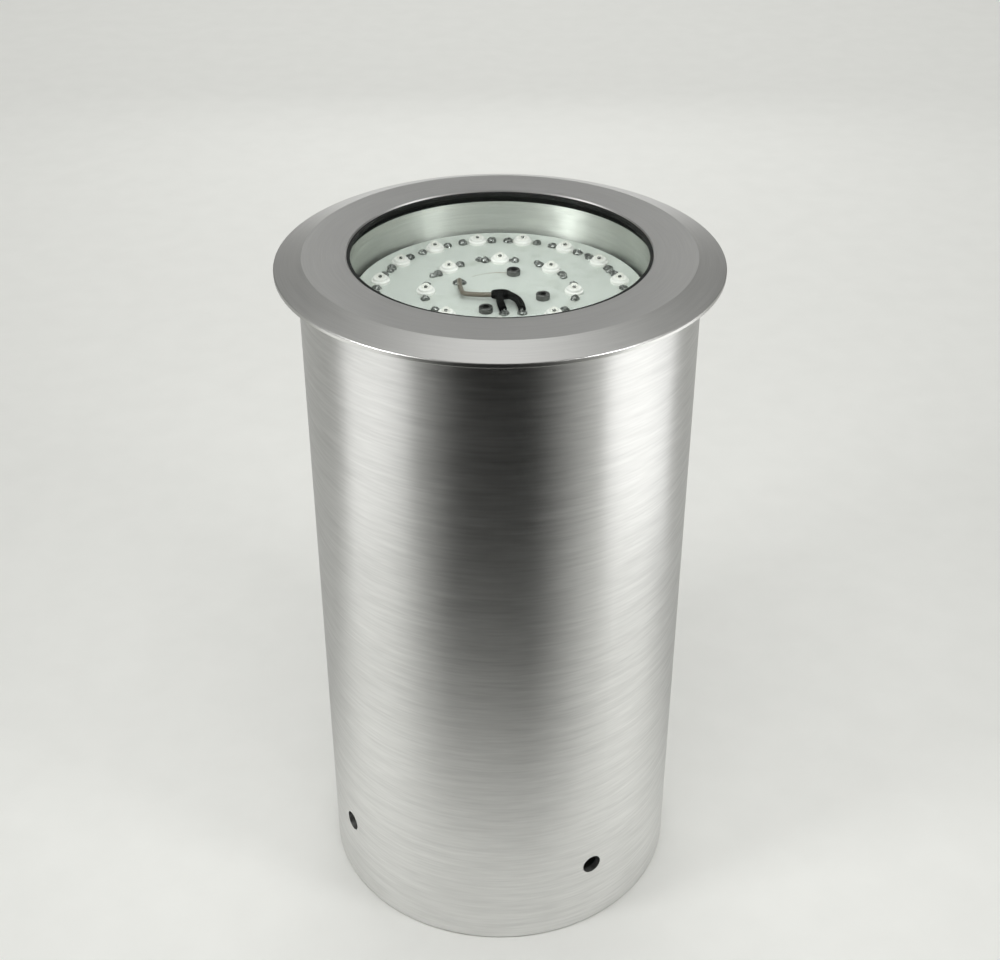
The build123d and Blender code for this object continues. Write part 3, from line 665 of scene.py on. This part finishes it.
def wire_end_lumps():
    """A lump at each wire's end."""
    mesh = bmesh.new()
    ends = [(on_board((x, y, 0.0)), radius * mm) for x, y, radius in wire_lumps]
    for side in (-1, 1):
        ends.append((on_ring(feed_ring_r, feed_angle, side * (feed_shift + feed_reach)), solder_r[1]))
    for spot, radius in ends:
        lump(mesh, spot, radius, solder_height[0])
    mesh_piece("wire_lumps", mesh, "solder", ["wire_joints"])


def wires(name, routes, radius, slot, replaced=()):
    """Smooth round wires, one for each route of points."""
    curve = bpy.data.curves.new(name, "CURVE")
    curve.dimensions = "3D"
    curve.bevel_depth = radius
    curve.bevel_resolution = wire_facets
    curve.use_fill_caps = True
    for route in routes:
        spline = curve.splines.new("NURBS")
        spline.points.add(len(route) - 1)
        for point, place in zip(spline.points, route):
            point.co = (*place, 1.0)
        spline.order_u = wire_order
        spline.use_endpoint_u = True
        spline.resolution_u = wire_steps
    dress(bpy.data.objects.new(name, curve), slot, replaced)


def board_route(route):
    """A wire's points on the board."""
    return [on_board(point) for point in route]


def feed_routes():
    """From the driver, up through the grommet and over to the board, one route for each side."""
    below, arch, end = [Vector((0.0, 0.0, height)) for height in feed_heights]
    for side in (-1, 1):
        passing = on_ring(feed_ring_r, feed_angle, side * feed_shift)
        ending = on_ring(feed_ring_r, feed_angle, side * (feed_shift + feed_reach))
        foot = Vector((passing.x, passing.y, driver_top))
        yield [foot, passing + below, passing + arch, ending + arch, ending + end]


def strand_routes():
    """Bare strands that fan out from each black wire's end to its solder lump."""
    for route, (x, y, _) in zip((right_route, left_route), wire_lumps):
        first = on_board(route[0])
        for _ in range(strand_count):
            start = first + Vector([draw.uniform(-strand_bundle, strand_bundle) * mm for _ in range(3)])
            end_x = x + draw.uniform(-strand_fan, strand_fan)
            end_y = y + draw.uniform(*strand_reach)
            end = on_board((end_x, end_y, strand_end_height))
            bow = Vector((0.0, 0.0, draw.uniform(*strand_bow) * mm))
            yield [start, (start + end) / 2 + bow, end]


def shrunk_sleeve():
    """Wrinkled sleeve over the joint of the jumper wires."""
    mesh = bmesh.new()
    start = on_board(sleeve_start)
    run = on_board(sleeve_end) - start
    turn = run.to_track_quat("Z", "Y")
    rings = [[mesh.verts.new(start)]]
    for number in range(sleeve_rings + 1):
        share = number / sleeve_rings
        end_round = 1.0 - sleeve_end_taper * abs(2.0 * share - 1.0) ** sleeve_end_power
        ring = []
        for c, s in circle_points(lathe_steps):
            wrinkle = noise.noise(Vector((c, s, share * sleeve_wrinkles)) * wrinkle_scale)
            radius = sleeve_r * end_round * (1.0 - wrinkle_depth + wrinkle_depth * wrinkle)
            ring.append(mesh.verts.new(start + run * share + turn @ Vector((c * radius, s * radius, 0.0))))
        rings.append(ring)
    rings.append([mesh.verts.new(start + run)])
    join_rings(mesh, rings)
    mesh_piece("shrunk_sleeve", mesh, "wire_black", ["jumper_sleeve"])


draw = random.Random(draw_seed)
led_packages()
led_domes()
led_dies()
solder_lumps()
wire_end_lumps()
black_routes = [board_route(right_route), board_route(left_route)]
wires("black_wires", black_routes, jumper_r, "wire_black", ["jumper_wires_black"])
wires("brown_wire", [board_route(brown_route)], brown_r, "wire_brown", ["jumper_wire_brown"])
wires("feed_pair", list(feed_routes()), feed_r, "wire_black", ["feed_wires"])
wires("bare_strands", list(strand_routes()), strand_r, "solder")
shrunk_sleeve()


# Stage

def soft_lamp(name, place, target, width, height, power, glossy=True, diffuse=True):
    """A soft box that the camera doesn't see, and that can be kept off glossy or dull surfaces."""
    data = bpy.data.lights.new(name, "AREA")
    data.shape = "RECTANGLE"
    data.size = width
    data.size_y = height
    data.energy = power
    lamp = bpy.data.objects.new(name, data)
    bpy.context.scene.collection.objects.link(lamp)
    lamp.location = place
    lamp.rotation_euler = (Vector(target) - Vector(place)).to_track_quat("-Z", "Y").to_euler()
    lamp.visible_camera = False
    lamp.visible_glossy = glossy
    lamp.visible_diffuse = diffuse


def flat_sheet(name, low, high, height):
    """A level rectangle of the stage, from one corner to the other."""
    mesh = bpy.data.meshes.new(name)
    corners = [(low[0], low[1]), (high[0], low[1]), (high[0], high[1]), (low[0], high[1])]
    mesh.from_pydata([(x, y, height) for x, y in corners], [], [(0, 1, 2, 3)])
    sheet = bpy.data.objects.new(name, mesh)
    bpy.context.scene.collection.objects.link(sheet)
    return sheet


def floor_finish():
    """Pale paper with faint fibres."""
    material, tree, output = new_material("floor_paper")
    fibres = speckle(tree, scale=40.0, detail=3.0)
    tone = colours(tree, fibres, paper_dark, paper_light, **wide_noise)
    principled(tree, output, Base_Color=tone, Roughness=0.9, Specular_IOR_Level=0.1)
    return material


def black_flag_finish(name, near, far, middle, side, most=1.0, fan=False):
    """Black card that thins out towards its near end and its sides. These are measured along its own Y
    and X or, for a fan, as the distance and the angle from its own origin."""
    material, tree, output = new_material(name)
    axes = add(tree, "ShaderNodeSeparateXYZ", {0: own_place(tree)}).outputs
    along = axes["Y"]
    across = maths(tree, "ABSOLUTE", axes["X"])
    if fan:
        across = maths(tree, "ARCTAN2", across, along)
        along = axis_distance(tree, axes)
    lengthwise = spread(tree, along, 0.0, most, start=near, end=far)
    sideways = spread(tree, across, 1.0, 0.0, start=middle, end=side)
    cover = maths(tree, "MULTIPLY", lengthwise, sideways)
    clear = add(tree, "ShaderNodeBsdfTransparent")
    black = add(tree, "ShaderNodeBsdfDiffuse", {"Color": (*card_black, 1.0)})
    mix = add(tree, "ShaderNodeMixShader", {0: cover, 1: clear.outputs[0], 2: black.outputs[0]})
    tree.links.new(mix.outputs[0], output.inputs["Surface"])
    return material


def black_flag(name, low, high, place, tilt, **feather):
    """Black card that keeps light out of the reflections, and that the camera doesn't see."""
    card = flat_sheet(name, low, high, 0.0)
    card.location = place
    card.rotation_euler = (math.radians(tilt), 0.0, 0.0)
    card.data.materials.append(black_flag_finish(name, **feather))
    card.visible_camera = False
    card.visible_diffuse = False
    card.visible_shadow = False


def cloths_and_cards():
    """Dark cloths on the floor and upright dark cards round the light."""
    black_flag(
        "front_cloth",
        low=(-0.9, 0.09),
        high=(0.9, 1.26),
        place=(-0.02, -0.04, cloth_height),
        tilt=180.0,
        near=0.06,
        far=0.29,
        middle=math.radians(18.0),
        side=math.radians(77.0),
        fan=True,
    )
    black_flag(
        "back_cloth",
        low=(-2.0, 0.0),
        high=(2.0, 2.0),
        place=(0.0, -0.05, cloth_height),
        tilt=0.0,
        near=0.0,
        far=0.15,
        middle=1.5,
        side=2.0,
        most=0.35,
    )
    black_flag(
        "front_card",
        low=(-1.0, 0.0),
        high=(1.0, 3.2),
        place=(0.0, -1.30, 0.0),
        tilt=90.0,
        near=-0.1,
        far=0.0,
        middle=0.45,
        side=0.95,
    )
    black_flag(
        "back_card",
        low=(-1.3, 0.0),
        high=(1.3, 1.05),
        place=(0.0, 1.20, 0.35),
        tilt=90.0,
        near=0.0,
        far=0.15,
        middle=0.18,
        side=0.27,
    )
    for hand in (-1, 1):
        black_flag(
            f"side_card_{hand}",
            low=(-0.45, 0.0),
            high=(0.45, 2.0),
            place=(hand * 0.95, 1.00, 0.2),
            tilt=90.0,
            near=0.0,
            far=0.1,
            middle=0.3,
            side=0.45,
            most=0.5,
        )


def studio_world():
    """Even soft light from all round."""
    world = bpy.data.worlds.new("studio")
    bpy.context.scene.world = world
    world.use_nodes = True
    tree = world.node_tree
    tree.nodes.clear()
    sky = add(tree, "ShaderNodeBackground", {"Color": (*sky_colour, 1.0), "Strength": sky_strength})
    output = tree.nodes.new("ShaderNodeOutputWorld")
    tree.links.new(sky.outputs[0], output.inputs["Surface"])


def side_lamps():
    """At each side a low box for the sleeve, a high one for the can's wall and one for the bezel's edge."""
    for side, low_y, low_power, high_y, high_power in SIDE_LAMPS:
        soft_lamp(
            f"low_box_{side}",
            place=(side * low_x, low_y, low_z),
            target=(0.0, low_y, low_z),
            width=0.34,
            height=0.26,
            power=low_power,
            diffuse=False,
        )
        soft_lamp(
            f"high_box_{side}",
            place=(side * high_x, high_y, high_z),
            target=(0.0, 0.0, high_aim),
            width=0.14,
            height=0.40,
            power=high_power,
        )
        soft_lamp(
            f"edge_box_{side}",
            place=(side * edge_x, 0.0, edge_z),
            target=(0.0, 0.0, edge_aim),
            width=0.30,
            height=0.30,
            power=0.4,
            diffuse=False,
        )


def middle_lamps():
    """Lamps on the middle plane. Those kept off glossy surfaces light the board and the floor."""
    soft_lamp(
        "top_box",
        place=(0.0, 0.85, 2.2),
        target=(0.0, 0.0, 0.25),
        width=0.8,
        height=2.1,
        power=4.2,
    )
    soft_lamp(
        "board_box",
        place=(0.0, -0.20, 0.65),
        target=(0.0, 0.0, 0.28),
        width=0.22,
        height=0.22,
        power=0.85,
        glossy=False,
    )
    soft_lamp(
        "back_strip",
        place=(0.0, 1.1, 0.42),
        target=(0.0, 0.0, 0.42),
        width=0.7,
        height=0.40,
        power=0.75,
    )
    soft_lamp(
        "fill_box",
        place=(0.0, 1.1, 2.6),
        target=(0.0, 1.1, 0.0),
        width=4.0,
        height=4.0,
        power=22.5,
        glossy=False,
    )
    soft_lamp(
        "back_fill",
        place=(0.0, 1.7, 1.5),
        target=(0.0, 1.7, 0.0),
        width=2.0,
        height=1.0,
        power=7.0,
        glossy=False,
    )


def photo_camera():
    """The camera that took the photograph, as fitted to it."""
    camera = bpy.data.objects.new("camera", bpy.data.cameras.new("camera"))
    bpy.context.scene.collection.objects.link(camera)
    camera.location = camera_place
    camera.rotation_euler = (math.radians(camera_pitch), 0.0, 0.0)
    camera.data.lens = camera_lens
    camera.data.sensor_width = camera_sensor
    bpy.context.scene.camera = camera


floor = flat_sheet("floor", (-floor_half, -floor_half), (floor_half, floor_half), -floor_drop)
floor.data.materials.append(floor_finish())
cloths_and_cards()
studio_world()
side_lamps()
middle_lamps()
photo_camera()
bpy.context.scene.view_settings.view_transform = "Standard"
